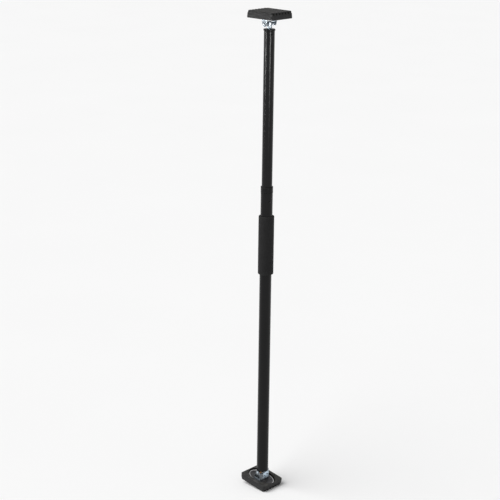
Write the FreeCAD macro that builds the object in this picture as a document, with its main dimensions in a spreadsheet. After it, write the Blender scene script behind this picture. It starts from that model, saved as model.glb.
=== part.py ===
import FreeCAD, Part
import os
import re

import Sketcher

# Tension pull up bar: two telescoping steel tubes, clamped upright between two surfaces by
# a jack screw, with a tilting rubber pad at each end.
# Frame: Z along the pole, origin under its lower end, X along the pads' long side and
# Y along the pivot pins. Lengths in mm, angles in degrees.

SIZES = {
    "Tubes": {
        "outer_radius": 19.05,
        "outer_wall": 1.2,
        "outer_length": 955.0,
        "tube_play": 1.2,
        "inner_wall": 1.6,
        "inner_length": 804.0,
        "inner_shown": 504.0,
        "foot_gap": 0.5,
        "tube_chamfer": 0.3,
    },
    "Clearances": {
        "fixed_gap": 0.05,
        "running_gap": 0.05,
        "guide_gap": 0.1,
        "side_gap": 0.3,
    },
    "Foam grip": {
        "grip_drop": 76.0,
        "grip_length": 191.0,
        "grip_thickness": 5.7,
        "grip_round": 3.0,
    },
    "Guide collar": {
        "collar_step": 0.25,
        "collar_bead": 0.25,
        "bead_height": 2.6,
        "collar_height": 19.0,
        "sleeve_depth": 40.0,
        "collar_rivet_drop": 28.0,
    },
    "Tube rivets": {
        "rivet_azimuth": -20.7,
        "rivet_radius": 2.4,
        "rivet_head": 3.9,
        "rivet_dome": 1.1,
        "cap_rivet_drop": 12.0,
        "rivet_hold": 1.3,
    },
    "Twist lock": {
        "core_flange": 3.0,
        "core_step": 0.25,
        "core_depth": 26.0,
        "stud_radius": 4.0,
        "stud_length": 56.0,
        "stud_grip": 20.0,
        "expander_height": 34.0,
        "expander_web": 4.0,
        "expander_wall": 2.6,
        "expander_taper": 5.7,
        "slit_width": 2.4,
        "cone_height": 24.0,
        "cone_foot": 4.0,
        "key_reach": 1.8,
    },
    "Retaining clips": {
        "clip_thickness": 1.0,
        "clip_width": 3.0,
        "groove_depth": 0.8,
        "groove_width": 1.1,
        "clip_mouth": 3.2,
    },
    "End cap": {
        "flange_height": 5.5,
        "flange_step": 1.5,
        "flange_taper": 1.4,
        "flange_chamfer": 0.6,
        "cap_depth": 38.0,
        "cap_mouth_play": 0.35,
        "insert_cover": 4.05,
        "cap_wall": 1.65,
        "insert_length": 26.0,
        "insert_drop": 6.0,
        "insert_rib_height": 4.0,
        "insert_rib_rise": 7.0,
    },
    "Screw and swivel": {
        "screw_radius": 8.0,
        "screw_out": 15.5,
        "screw_length": 124.0,
        "eye_reach": 8.0,
        "eye_chamfer": 3.2,
        "neck_step": 3.0,
        "neck_length": 16.0,
        "guide_height": 10.0,
        "plug_height": 44.0,
        "shoulder_depth": 24.0,
        "spindle_step": 2.0,
        "washer_width": 5.0,
        "washer_height": 1.5,
        "clip_tail": 3.4,
    },
    "Pivots": {
        "lower_tilt": 8.3,
        "upper_turn": 180.0,
        "pin_radius": 3.0,
        "pin_head_step": 2.0,
        "pin_head_height": 2.0,
        "pin_tail": 3.6,
        "bush_wall": 1.45,
        "ear_clearance": 1.75,
        "ear_wall": 4.4,
        "sheet_thickness": 2.5,
        "bracket_flare": 5.6,
        "bracket_base_drop": 24.5,
        "bend_radius": 3.0,
        "stud_hole_radius": 2.5,
        "stud_offset": 12.0,
        "stud_head_step": 2.0,
        "stud_head_height": 1.8,
    },
    "Pads": {
        "plate_major": 48.0,
        "plate_minor": 31.0,
        "plate_thickness": 2.0,
        "lip_height": 4.0,
        "lip_thickness": 2.0,
        "recess_gap": 3.0,
        "rim_rise": 8.5,
        "step_drop": 14.8,
        "sole_depth": 13.5,
        "rim_half_length": 54.6,
        "rim_half_width": 45.9,
        "rim_corner": 8.0,
        "step_inset": 1.2,
        "tread_inset": 2.2,
        "sole_inset": 3.2,
        "groove_step": 12.9,
        "groove_cut": 5.2,
        "groove_deep": 6.9,
        "groove_reach": 3.0,
        "groove_count": 7,
    },
}

# sizes and places that follow from the ones above, so that what fits together stays together
FOLLOWING = {
    "outer_bore": "outer_radius - outer_wall",
    "inner_radius": "outer_bore - tube_play",
    "inner_bore": "inner_radius - inner_wall",
    "plate_floor_drop": "bracket_base_drop + plate_thickness",
    "rim_drop": "plate_floor_drop - rim_rise",
    "slab_foot_drop": "rim_drop + step_drop",
    "sole_drop": "plate_floor_drop + sole_depth",
    "sole_half_length": "rim_half_length - sole_inset",
    "tilt_angle": "lower_tilt * 1 deg",
    "lower_pin_height": "sole_half_length * sin(tilt_angle) + sole_drop * cos(tilt_angle)",
    "outer_bottom": "lower_pin_height + bush_radius + foot_gap",
    "outer_top": "outer_bottom + outer_length",
    "inner_top": "outer_top + inner_shown",
    "inner_bottom": "inner_top - inner_length",
    "grip_top": "outer_top - grip_drop",
    "grip_bottom": "grip_top - grip_length",
    "grip_radius": "outer_radius + fixed_gap + grip_thickness",
    "collar_radius": "outer_radius + collar_step",
    "collar_rivet_height": "outer_top - collar_rivet_drop",
    "collar_rivet_depth": "outer_wall + guide_gap * 7",
    "cap_rivet_height": "inner_top - cap_rivet_drop",
    "cap_rivet_depth": "inner_wall + rivet_hold",
    "core_flange_radius": "inner_radius - core_step",
    "expander_mouth": "outer_bore - expander_wall",
    "expander_hub": "expander_mouth - expander_taper",
    "cone_key": "slit_width - side_gap * 2",
    "cone_key_reach": "expander_mouth + key_reach",
    "clip_bite": "groove_depth - fixed_gap",
    "flange_radius": "inner_radius + flange_step",
    "cap_mouth": "screw_radius + cap_mouth_play",
    "insert_radius": "inner_bore - insert_cover",
    "insert_top": "inner_top - insert_drop",
    "insert_bottom": "insert_top - insert_length",
    "insert_rib_radius": "inner_bore - cap_wall",
    "insert_rib_bottom": "insert_bottom + insert_rib_rise",
    "insert_rib_top": "insert_rib_bottom + insert_rib_height",
    "upper_pin_height": "inner_top + flange_height + screw_out",
    "screw_foot": "upper_pin_height - screw_length",
    "neck_radius": "screw_radius - neck_step",
    "plug_shoulder": "outer_bottom + shoulder_depth",
    "spindle_neck": "screw_radius - spindle_step",
    "spindle_top": "outer_bottom + plug_height + washer_height + groove_width + clip_tail",
    "washer_radius": "spindle_neck + washer_width",
    "pin_head_radius": "pin_radius + pin_head_step",
    "bush_radius": "pin_radius + running_gap + bush_wall",
    "ear_radius": "pin_radius + ear_wall",
    "ear_outside": "outer_radius + ear_clearance + sheet_thickness",
    "bracket_half_length": "ear_radius + bracket_flare",
    "ear_shoulder": "ear_radius * 0.977",
    "ear_shoulder_rise": "ear_radius * 0.2",
    "stud_head_radius": "stud_hole_radius + stud_head_step",
}

SHEET = "sizes"

# reach of a sketch's outline before its sizes are bound, and the smallest length that counts
START_REACH = 50.0
TINY = 1e-4


def bound(expression):
    """The expression with each size's name pointing at its cell in the sheet."""
    names = {name for sizes in SIZES.values() for name in sizes}

    def cell(word):
        name = word.group(0)
        if name in FOLLOWING:
            return f"({bound(FOLLOWING[name])})"
        return f"{SHEET}.{name}" if name in names else name

    return re.sub(r"[a-z_]+", cell, expression)


def write_sizes(document):
    """The spreadsheet that drives every sub-part: one named cell for each size."""
    sheet = document.addObject("Spreadsheet::Sheet", SHEET)
    row = 1
    for group, sizes in SIZES.items():
        sheet.set(f"A{row}", group)
        row += 1
        for name, value in sizes.items():
            sheet.set(f"A{row}", name)
            sheet.set(f"B{row}", str(value))
            sheet.setAlias(f"B{row}", name)
            row += 1
    document.recompute()


# ---- building blocks -------------------------------------------------------------------


def origin_of(body, role):
    """One of a body's own origin planes or axes."""
    return next(f for f in body.Origin.OriginFeatures if f.Role == role)


def new_body(document, name):
    """An empty body, labelled with its sub-part's name."""
    body = document.addObject("PartDesign::Body", name)
    body.Label = name
    return body


def new_sketch(body, name, plane="XY_Plane", height="0"):
    """An empty sketch on one of the body's planes, raised along that plane's normal."""
    sketch = body.newObject("Sketcher::SketchObject", name)
    sketch.AttachmentSupport = [(origin_of(body, plane), "")]
    sketch.MapMode = "FlatFace"
    sketch.setExpression("AttachmentOffset.Base.z", bound(height))
    return sketch


def hold_point(sketch, line, end, across, along):
    """Holds one point of a line or circle at a place given by two expressions."""
    for kind, expression in (("DistanceX", across), ("DistanceY", along)):
        number = sketch.addConstraint(Sketcher.Constraint(kind, -1, 1, line, end, 1.0))
        sketch.setExpression(f"Constraints[{number}]", bound(expression))


def draw_outline(sketch, corners):
    """A closed outline of straight lines through corners given by expressions."""
    count = len(corners)
    turn = FreeCAD.Rotation(FreeCAD.Vector(0, 0, 1), 360.0 / count)
    points = [FreeCAD.Vector(START_REACH, 0, 0)]
    for _ in range(count - 1):
        points.append(turn.multVec(points[-1]))
    for n in range(count):
        sketch.addGeometry(Part.LineSegment(points[n], points[(n + 1) % count]), False)
    for n in range(count):
        sketch.addConstraint(Sketcher.Constraint("Coincident", n, 2, (n + 1) % count, 1))
    for n, (across, along) in enumerate(corners):
        hold_point(sketch, n, 1, across, along)


def draw_circle(sketch, radius, across="0", along="0"):
    """A circle with its radius and centre given by expressions."""
    up = FreeCAD.Vector(0, 0, 1)
    centre = FreeCAD.Vector(START_REACH, START_REACH, 0)
    circle = sketch.addGeometry(Part.Circle(centre, up, 1.0), False)
    number = sketch.addConstraint(Sketcher.Constraint("Radius", circle, 1.0))
    sketch.setExpression(f"Constraints[{number}]", bound(radius))
    hold_point(sketch, circle, 3, across, along)


def draw_rectangle(sketch, half_across, half_along):
    """A rectangle about the sketch's origin."""
    low_a, low_b = f"0 - ({half_across})", f"0 - ({half_along})"
    corners = [(low_a, low_b), (half_across, low_b)]
    corners += [(half_across, half_along), (low_a, half_along)]
    draw_outline(sketch, corners)


def turned(document, name, corners):
    """A solid of revolution about Z from its (radius, height) corners."""
    body = new_body(document, name)
    sketch = new_sketch(body, name + "_profile", "XZ_Plane")
    draw_outline(sketch, corners)
    turn = body.newObject("PartDesign::Revolution", name + "_turn")
    turn.Profile = sketch
    turn.ReferenceAxis = (sketch, ["V_Axis"])
    turn.Angle = 360.0
    document.recompute()
    return body


def cut_through(body, sketch, name):
    """A cut right through the body, both ways from the sketch."""
    pocket = body.newObject("PartDesign::Pocket", name)
    pocket.Profile = sketch
    pocket.SideType = "Symmetric"
    pocket.Type = "ThroughAll"
    body.Document.recompute()
    return pocket


def cut_one_way(body, sketch, name, length, away=False):
    """A cut of a given length to one side of the sketch; away is along its normal."""
    pocket = body.newObject("PartDesign::Pocket", name)
    pocket.Profile = sketch
    pocket.Reversed = away
    pocket.setExpression("Length", bound(length))
    body.Document.recompute()
    return pocket


def ring(document, name, bottom, top, outside, inside):
    """A plain ring about Z."""
    corners = [(inside, bottom), (outside, bottom), (outside, top), (inside, top)]
    return turned(document, name, corners)


def set_on_pivot(piece, height, angle):
    """Hangs a piece, drawn about its pivot pin, on the pin and turns it about the pin."""
    across = FreeCAD.Vector(0, 1, 0)
    piece.Placement = FreeCAD.Placement(
        FreeCAD.Vector(0, 0, 0), FreeCAD.Rotation(across, SIZES["Pivots"][angle])
    )
    piece.setExpression("Placement.Base.z", bound(height))
    piece.setExpression("Placement.Rotation.Angle", bound(angle))


def face_rivets(piece):
    """Turns a piece about the pole so that its local X faces the way the rivets do."""
    up = FreeCAD.Vector(0, 0, 1)
    turn = FreeCAD.Rotation(up, SIZES["Tube rivets"]["rivet_azimuth"])
    piece.Placement = FreeCAD.Placement(FreeCAD.Vector(0, 0, 0), turn)
    return piece


def tube_rivet_hole(body, height, radius):
    """A round hole through the wall on the body's local +X side."""
    sketch = new_sketch(body, body.Label + "_hole_place", "YZ_Plane")
    draw_circle(sketch, radius, "0", height)
    cut_one_way(body, sketch, body.Label + "_hole", "collar_radius + side_gap", True)


# ---- tubes and grip --------------------------------------------------------------------


def tube(document, name, outside, inside, bottom, top, hole_height):
    """A steel tube with its ends deburred and one rivet hole."""
    edge = f"{outside} - tube_chamfer"
    corners = [
        (inside, bottom),
        (edge, bottom),
        (outside, f"{bottom} + tube_chamfer"),
        (outside, f"{top} - tube_chamfer"),
        (edge, top),
        (inside, top),
    ]
    body = turned(document, name, corners)
    tube_rivet_hole(body, hole_height, "rivet_radius + fixed_gap")
    return face_rivets(body)


def outer_tube(document):
    """The lower, wider tube, which carries the grip and the guide collar."""
    sizes = ("outer_radius", "outer_bore", "outer_bottom", "outer_top")
    return tube(document, "outer_tube", *sizes, "collar_rivet_height")


def inner_tube(document):
    """The upper, narrower tube, which slides in the outer one."""
    sizes = ("inner_radius", "inner_bore", "inner_bottom", "inner_top")
    return tube(document, "inner_tube", *sizes, "cap_rivet_height")


def foam_grip(document):
    """The foam sleeve round the outer tube, with rounded ends."""
    bore = "outer_radius + fixed_gap"
    corners = [
        (bore, "grip_bottom"),
        ("grip_radius - grip_round", "grip_bottom"),
        ("grip_radius - grip_round / 4", "grip_bottom + grip_round / 4"),
        ("grip_radius", "grip_bottom + grip_round"),
        ("grip_radius", "grip_top - grip_round"),
        ("grip_radius - grip_round / 4", "grip_top - grip_round / 4"),
        ("grip_radius - grip_round", "grip_top"),
        (bore, "grip_top"),
    ]
    return turned(document, "foam_grip", corners)


def guide_collar(document):
    """The collar on the outer tube's mouth: a beaded band over a sleeve in the tube."""
    bore = "inner_radius + guide_gap"
    low, high = "outer_top", "outer_top + collar_height"
    bead = "collar_radius + collar_bead"
    corners = [
        (bore, "outer_top - sleeve_depth"),
        ("outer_bore - fixed_gap", "outer_top - sleeve_depth"),
        ("outer_bore - fixed_gap", low),
        (bead + " - collar_bead * 2", low),
        (bead, f"{low} + collar_bead * 2"),
        (bead, f"{low} + bead_height"),
        ("collar_radius", f"{low} + bead_height + collar_bead"),
        ("collar_radius", f"{high} - bead_height - collar_bead"),
        (bead, f"{high} - bead_height"),
        (bead, f"{high} - collar_bead * 2"),
        (bead + " - collar_bead * 2", high),
        (bore, high),
    ]
    body = turned(document, "guide_collar", corners)
    tube_rivet_hole(body, "collar_rivet_height", "rivet_radius + fixed_gap")
    return face_rivets(body)


def tube_rivet(document, name, seat, depth, height):
    """A domed rivet that points into the pole from a tube's wall."""
    corners = [
        ("0", f"0 - {depth}"),
        ("rivet_radius", f"0 - {depth}"),
        ("rivet_radius", "0"),
        ("rivet_head", "0"),
        ("rivet_head * 0.75", "rivet_dome * 0.75"),
        ("rivet_head * 0.4", "rivet_dome"),
        ("0", "rivet_dome"),
    ]
    body = turned(document, name, corners)
    azimuth = SIZES["Tube rivets"]["rivet_azimuth"]
    outwards = FreeCAD.Rotation(azimuth, 90.0, 0.0)
    body.Placement = FreeCAD.Placement(FreeCAD.Vector(0, 0, 0), outwards)
    reach = f"({seat} + fixed_gap)"
    body.setExpression("Placement.Base.x", bound(f"{reach} * cos(rivet_azimuth * 1 deg)"))
    body.setExpression("Placement.Base.y", bound(f"{reach} * sin(rivet_azimuth * 1 deg)"))
    body.setExpression("Placement.Base.z", bound(height))
    return body


# ---- twist lock at the inner tube's lower end ------------------------------------------


def lock_core(document):
    """The plug in the inner tube's lower end, which holds the lock's stud."""
    floor = "inner_bottom - core_flange"
    seat = "inner_bottom + stud_grip"
    shank = "inner_bore - fixed_gap"
    corners = [
        ("stud_radius + fixed_gap", floor),
        ("core_flange_radius", floor),
        ("core_flange_radius", "inner_bottom - fixed_gap"),
        (shank, "inner_bottom - fixed_gap"),
        (shank, "inner_bottom + core_depth"),
        ("0", "inner_bottom + core_depth"),
        ("0", f"{seat} + fixed_gap"),
        ("stud_radius + fixed_gap", f"{seat} + fixed_gap"),
    ]
    return turned(document, "lock_core", corners)


def lock_stud(document):
    """The threaded stud below the core, with a groove for its end clip."""
    top = "inner_bottom + stud_grip"
    foot = "inner_bottom - stud_length"
    groove = f"{foot} + clip_width"
    neck = "stud_radius - groove_depth"
    corners = [
        ("0", foot),
        (neck, foot),
        ("stud_radius", f"{foot} + groove_depth"),
        ("stud_radius", groove),
        (neck, groove),
        (neck, f"{groove} + groove_width"),
        ("stud_radius", f"{groove} + groove_width"),
        ("stud_radius", top),
        ("0", top),
    ]
    return turned(document, "lock_stud", corners)


def lock_expander(document):
    """The split sleeve that the cone spreads against the outer tube's wall."""
    top = "inner_bottom - core_flange - side_gap"
    foot = f"{top} - expander_height"
    web = f"{top} - expander_web"
    body = turned(
        document,
        "lock_expander",
        [
            ("stud_radius + running_gap", web),
            ("expander_hub", web),
            ("expander_mouth", foot),
            ("outer_bore - running_gap", foot),
            ("outer_bore - running_gap", top),
            ("stud_radius + running_gap", top),
        ],
    )
    sketch = new_sketch(body, "slit_place", "XY_Plane", foot)
    draw_rectangle(sketch, "slit_width / 2", "outer_radius")
    cut_one_way(body, sketch, "slit", "expander_height - expander_web * 2", True)
    return body


def lock_cone(document):
    """The cone nut on the stud, kept from turning by two keys in the sleeve's slits."""
    foot = "inner_bottom - core_flange - side_gap - expander_height - cone_foot"
    slope = "(expander_mouth - expander_hub) / (expander_height - expander_web)"
    rise = "(cone_height - cone_foot)"
    wide = "expander_mouth - side_gap"
    body = turned(
        document,
        "lock_cone",
        [
            ("stud_radius + running_gap", foot),
            (wide, foot),
            (wide, f"{foot} + cone_foot"),
            (f"{wide} - {slope} * {rise}", f"{foot} + cone_height"),
            ("stud_radius + running_gap", f"{foot} + cone_height"),
        ],
    )
    sketch = new_sketch(body, "key_place", "XY_Plane", foot)
    low, high = "0 - cone_key / 2", "cone_key / 2"
    near, far = "expander_hub", "cone_key_reach"
    draw_outline(sketch, [(low, near), (high, near), (high, far), (low, far)])
    key = body.newObject("PartDesign::Pad", "key")
    key.Profile = sketch
    key.setExpression("Length", bound("cone_height - cone_foot"))
    document.recompute()
    pair = body.newObject("PartDesign::PolarPattern", "key_pair")
    pair.Originals = [key]
    pair.Axis = (origin_of(body, "Z_Axis"), [""])
    pair.Angle = 360.0
    pair.Occurrences = 2
    body.Tip = pair
    document.recompute()
    return body


def shaft_clip(document, name, shaft, groove_floor):
    """A split spring clip in a shaft's groove, open on one side."""
    bite = f"{shaft} - clip_bite"
    low = f"{groove_floor} + (groove_width - clip_thickness) / 2"
    high = f"{low} + clip_thickness"
    body = ring(document, name, low, high, f"{shaft} + clip_width", bite)
    sketch = new_sketch(body, name + "_mouth_place", "XY_Plane", high)
    half = "clip_mouth / 2"
    far = f"{shaft} + clip_width * 2"
    draw_outline(sketch, [("0", f"0 - {half}"), (far, f"0 - {half}"), (far, half), ("0", half)])
    cut_one_way(body, sketch, name + "_mouth", "clip_thickness * 2")
    return body


# ---- upper end: cap, insert and jack screw ---------------------------------------------


def end_cap(document):
    """The flanged plug in the inner tube's top, moulded round the threaded insert."""
    top = "inner_top + flange_height"
    shank = "inner_bore - fixed_gap"
    skirt = "insert_radius + fixed_gap"
    rib = "insert_rib_radius + fixed_gap"
    corners = [
        (skirt, "inner_top - cap_depth"),
        (shank, "inner_top - cap_depth"),
        (shank, "inner_top + fixed_gap"),
        ("flange_radius - flange_taper", "inner_top + fixed_gap"),
        ("flange_radius", "inner_top + flange_taper"),
        ("flange_radius", f"{top} - flange_chamfer"),
        ("flange_radius - flange_chamfer", top),
        ("cap_mouth", top),
        ("cap_mouth", "insert_top + fixed_gap"),
        (skirt, "insert_top + fixed_gap"),
        (skirt, "insert_rib_top + fixed_gap"),
        (rib, "insert_rib_top + fixed_gap"),
        (rib, "insert_rib_bottom - fixed_gap"),
        (skirt, "insert_rib_bottom - fixed_gap"),
    ]
    body = turned(document, "end_cap", corners)
    sketch = new_sketch(body, "end_cap_hole_place", "YZ_Plane", "insert_rib_radius")
    draw_circle(sketch, "rivet_radius + fixed_gap", "0", "cap_rivet_height")
    cut_one_way(body, sketch, "end_cap_hole", "cap_wall", True)
    return face_rivets(body)


def screw_insert(document):
    """The steel threaded insert that the jack screw turns in."""
    bore = "screw_radius + running_gap"
    corners = [
        (bore, "insert_bottom"),
        ("insert_radius", "insert_bottom"),
        ("insert_radius", "insert_rib_bottom"),
        ("insert_rib_radius", "insert_rib_bottom"),
        ("insert_rib_radius", "insert_rib_top"),
        ("insert_radius", "insert_rib_top"),
        ("insert_radius", "insert_top"),
        (bore, "insert_top"),
    ]
    return turned(document, "screw_insert", corners)


def eye_hole(body, height):
    """The cross hole for the pivot pin, along Y."""
    sketch = new_sketch(body, body.Label + "_eye_place", "XZ_Plane")
    draw_circle(sketch, "pin_radius + running_gap", "0", height)
    cut_through(body, sketch, body.Label + "_eye")


def jack_screw(document):
    """The tensioning screw: an eye on top, a long thread and a neck for its tail guide."""
    top = "upper_pin_height + eye_reach"
    foot = "screw_foot - neck_length"
    groove = f"{foot} + clip_width"
    neck = "neck_radius - groove_depth"
    corners = [
        ("0", foot),
        ("neck_radius - groove_depth", foot),
        ("neck_radius", f"{foot} + groove_depth"),
        ("neck_radius", groove),
        (neck, groove),
        (neck, f"{groove} + groove_width"),
        ("neck_radius", f"{groove} + groove_width"),
        ("neck_radius", "screw_foot"),
        ("screw_radius", "screw_foot"),
        ("screw_radius", f"{top} - eye_chamfer"),
        ("screw_radius - eye_chamfer", top),
        ("0", top),
    ]
    body = turned(document, "jack_screw", corners)
    eye_hole(body, "upper_pin_height")
    return body


def screw_tail_guide(document):
    """The disc that keeps the screw's tail in the middle of the inner tube."""
    low = "screw_foot - neck_length + clip_width + groove_width + fixed_gap"
    top = f"{low} + guide_height"
    bore = "neck_radius + running_gap"
    return ring(document, "screw_tail_guide", low, top, "inner_bore - guide_gap", bore)


# ---- lower end: plug and swivel --------------------------------------------------------


def lower_end_plug(document):
    """The bearing plug in the outer tube's foot, stepped to carry the spindle."""
    top = "outer_bottom + plug_height"
    shank = "outer_bore - fixed_gap"
    wide, narrow = "screw_radius + running_gap", "spindle_neck + running_gap"
    corners = [
        (wide, "outer_bottom"),
        (shank, "outer_bottom"),
        (shank, top),
        (narrow, top),
        (narrow, "plug_shoulder"),
        (wide, "plug_shoulder"),
    ]
    return turned(document, "lower_end_plug", corners)


def lower_spindle(document):
    """The swivel pin of the lower pad: an eye below, a shoulder and a clipped neck."""
    foot = "lower_pin_height - eye_reach"
    groove = "outer_bottom + plug_height + washer_height + fixed_gap * 2"
    neck = "spindle_neck - groove_depth"
    shoulder = "plug_shoulder - fixed_gap"
    corners = [
        ("0", foot),
        ("screw_radius - eye_chamfer", foot),
        ("screw_radius", f"{foot} + eye_chamfer"),
        ("screw_radius", shoulder),
        ("spindle_neck", shoulder),
        ("spindle_neck", groove),
        (neck, groove),
        (neck, f"{groove} + groove_width"),
        ("spindle_neck", f"{groove} + groove_width"),
        ("spindle_neck", "spindle_top - groove_depth"),
        (neck, "spindle_top"),
        ("0", "spindle_top"),
    ]
    body = turned(document, "lower_spindle", corners)
    eye_hole(body, "lower_pin_height")
    return body


def spindle_washer(document):
    """The washer between the plug and the spindle's clip."""
    low = "outer_bottom + plug_height + fixed_gap"
    top = f"{low} + washer_height"
    bore = "spindle_neck + running_gap"
    return ring(document, "spindle_washer", low, top, "washer_radius", bore)


# ---- pad groups, drawn about their pivot pin with the pole above -----------------------


def pivot_pin(document, name, height):
    """The headed pin through a bracket's ears and an eye, with a groove for its clip."""
    head = "0 - ear_outside - guide_gap"
    groove = "ear_outside + guide_gap"
    tail = f"{groove} + pin_tail"
    neck = "pin_radius - groove_depth"
    corners = [
        ("0", f"{head} - pin_head_height"),
        ("pin_head_radius * 0.8", f"{head} - pin_head_height"),
        ("pin_head_radius", f"{head} - pin_head_height * 0.6"),
        ("pin_head_radius", head),
        ("pin_radius", head),
        ("pin_radius", groove),
        (neck, groove),
        (neck, f"{groove} + groove_width"),
        ("pin_radius", f"{groove} + groove_width"),
        ("pin_radius", f"{tail} - groove_depth"),
        (neck, tail),
        ("0", tail),
    ]
    body = turned(document, name, corners)
    return lay_along_pin(body, height)


def lay_along_pin(body, height):
    """Lays a piece turned about Z along Y at a pivot's height."""
    flat = FreeCAD.Rotation(FreeCAD.Vector(1, 0, 0), -90.0)
    body.Placement = FreeCAD.Placement(FreeCAD.Vector(0, 0, 0), flat)
    body.setExpression("Placement.Base.z", bound(height))
    return body


def pin_clip(document, name, height):
    """The spring clip on a pivot pin's tail."""
    body = shaft_clip(document, name, "pin_radius", "ear_outside + guide_gap")
    return lay_along_pin(body, height)


def spacer_bushes(document, name, height):
    """The two bushes that keep the eye in the middle of the bracket."""
    inside = "ear_outside - sheet_thickness - guide_gap"
    near = "screw_radius + guide_gap"
    bore = "pin_radius + running_gap"
    bush = ring(document, name + "_far", near, inside, "bush_radius", bore)
    mirror = document.addObject("Part::Mirroring", name + "_near")
    mirror.Source = bush
    mirror.Normal = FreeCAD.Vector(0, 0, 1)
    pair = document.addObject("Part::Compound", name)
    pair.Label = name
    pair.Links = [bush, mirror]
    return lay_along_pin(pair, height)


def clevis_bracket(document, name, height, angle):
    """The pressed bracket: a base and two ears that stand either side of the eye."""
    body = new_body(document, name)
    base = "0 - bracket_base_drop"
    floor = f"{base} + sheet_thickness"
    shield = new_sketch(body, name + "_shield", "XZ_Plane")
    low, high = "0 - bracket_half_length", "bracket_half_length"
    draw_outline(
        shield,
        [
            (low, base),
            (high, base),
            (high, floor),
            ("ear_shoulder", "ear_shoulder_rise"),
            ("0 - ear_shoulder", "ear_shoulder_rise"),
            (low, floor),
        ],
    )
    pad_across(body, shield, name + "_blank")
    crown = new_sketch(body, name + "_crown_place", "XZ_Plane")
    draw_circle(crown, "ear_radius")
    pad_across(body, crown, name + "_crown")
    channel = new_sketch(body, name + "_channel_place", "YZ_Plane")
    half = "(ear_outside - sheet_thickness)"
    clear = "ear_radius + sheet_thickness"
    draw_outline(
        channel,
        [(f"0 - {half}", floor), (half, floor), (half, clear), (f"0 - {half}", clear)],
    )
    cut_through(body, channel, name + "_channel")
    pin = new_sketch(body, name + "_pin_place", "XZ_Plane")
    draw_circle(pin, "pin_radius + running_gap")
    cut_through(body, pin, name + "_pin_holes")
    for side, offset in (("near", "0 - stud_offset"), ("far", "stud_offset")):
        stud = new_sketch(body, f"{name}_{side}_stud", "XY_Plane", floor)
        draw_circle(stud, "stud_hole_radius", "0", offset)
        cut_one_way(body, stud, f"{name}_{side}_hole", "sheet_thickness * 2")
    drilled = body.Tip
    bends = body.newObject("PartDesign::Fillet", name + "_bends")
    bends.Base = (drilled, bend_edges(drilled.Shape))
    bends.setExpression("Radius", bound("bend_radius"))
    document.recompute()
    set_on_pivot(body, height, angle)
    return body


def pad_across(body, sketch, name):
    """A pad as wide as the bracket, half to each side of the sketch."""
    pad = body.newObject("PartDesign::Pad", name)
    pad.Profile = sketch
    pad.SideType = "Symmetric"
    pad.setExpression("Length", bound("ear_outside * 2"))
    body.Document.recompute()


def bend_edges(shape):
    """The two outer bottom edges of a bracket, where base and ears meet."""
    low = shape.BoundBox.ZMin
    wide = shape.BoundBox.YMax
    return [
        f"Edge{n}"
        for n, edge in enumerate(shape.Edges, 1)
        if edge.BoundBox.ZMax < low + TINY and abs(edge.BoundBox.YMin) > wide - TINY
        and abs(edge.BoundBox.YMax) > wide - TINY and edge.BoundBox.XLength > TINY
    ]


def oval(document, name, major, minor, low, height):
    """An upright oval block, long along X."""
    outline = document.addObject("Part::Ellipse", name + "_outline")
    outline.setExpression("MajorRadius", bound(major))
    outline.setExpression("MinorRadius", bound(minor))
    outline.setExpression("Placement.Base.z", bound(low))
    block = document.addObject("Part::Extrusion", name)
    block.Base = outline
    block.DirMode = "Custom"
    block.Dir = FreeCAD.Vector(0, 0, 1)
    block.Solid = True
    block.setExpression("LengthFwd", bound(height))
    return block


def stud_pair(document, name, radius, low, height):
    """Two upright cylinders where a bracket is riveted to its plate."""
    pair = []
    for side, sign in (("near", "0 - "), ("far", "")):
        stud = document.addObject("Part::Cylinder", f"{name}_{side}")
        stud.setExpression("Radius", bound(radius))
        stud.setExpression("Height", bound(height))
        stud.setExpression("Placement.Base.y", bound(sign + "stud_offset"))
        stud.setExpression("Placement.Base.z", bound(low))
        pair.append(stud)
    return pair


def cut_shapes(document, name, base, tools):
    """The base with every tool taken out of it, one after another."""
    left = base
    for number, tool in enumerate(tools, 1):
        last = number == len(tools)
        cut = document.addObject("Part::Cut", name if last else f"{name}_cut_{number}")
        cut.Base = left
        cut.Tool = tool
        left = cut
    left.Label = name
    return left


def base_plate(document, name, height, angle):
    """The oval pressed plate with its upturned lip, bored for the bracket's rivets."""
    low = "0 - plate_floor_drop"
    blank = oval(document, name + "_blank", "plate_major", "plate_minor", low, "lip_height")
    dish = oval(
        document,
        name + "_dish",
        "plate_major - lip_thickness",
        "plate_minor - lip_thickness",
        "0 - bracket_base_drop",
        "lip_height",
    )
    holes = stud_pair(document, name + "_hole", "stud_hole_radius", low, "lip_height")
    plate = cut_shapes(document, name, blank, [dish, *holes])
    set_on_pivot(plate, height, angle)
    return plate


def bracket_rivets(document, name, height, angle):
    """The two rivets that hold a bracket on its plate."""
    low = "0 - plate_floor_drop"
    grip = "plate_thickness + sheet_thickness"
    shanks = stud_pair(document, name + "_shank", "stud_hole_radius - fixed_gap", low, grip)
    head_low = "sheet_thickness - bracket_base_drop + fixed_gap"
    rivets = []
    for shank in shanks:
        sign = "0 - " if shank.Name.endswith("near") else ""
        head = document.addObject("Part::Cone", shank.Name + "_head")
        head.setExpression("Radius1", bound("stud_head_radius"))
        head.setExpression("Radius2", bound("stud_head_radius / 2"))
        head.setExpression("Height", bound("stud_head_height"))
        head.setExpression("Placement.Base.y", bound(sign + "stud_offset"))
        head.setExpression("Placement.Base.z", bound(head_low))
        shank.setExpression("Height", bound(grip + " + fixed_gap * 2"))
        rivet = document.addObject("Part::MultiFuse", shank.Name + "_rivet")
        rivet.Shapes = [shank, head]
        rivets.append(rivet)
    pair = document.addObject("Part::Compound", name)
    pair.Label = name
    pair.Links = rivets
    set_on_pivot(pair, height, angle)
    return pair


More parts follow.
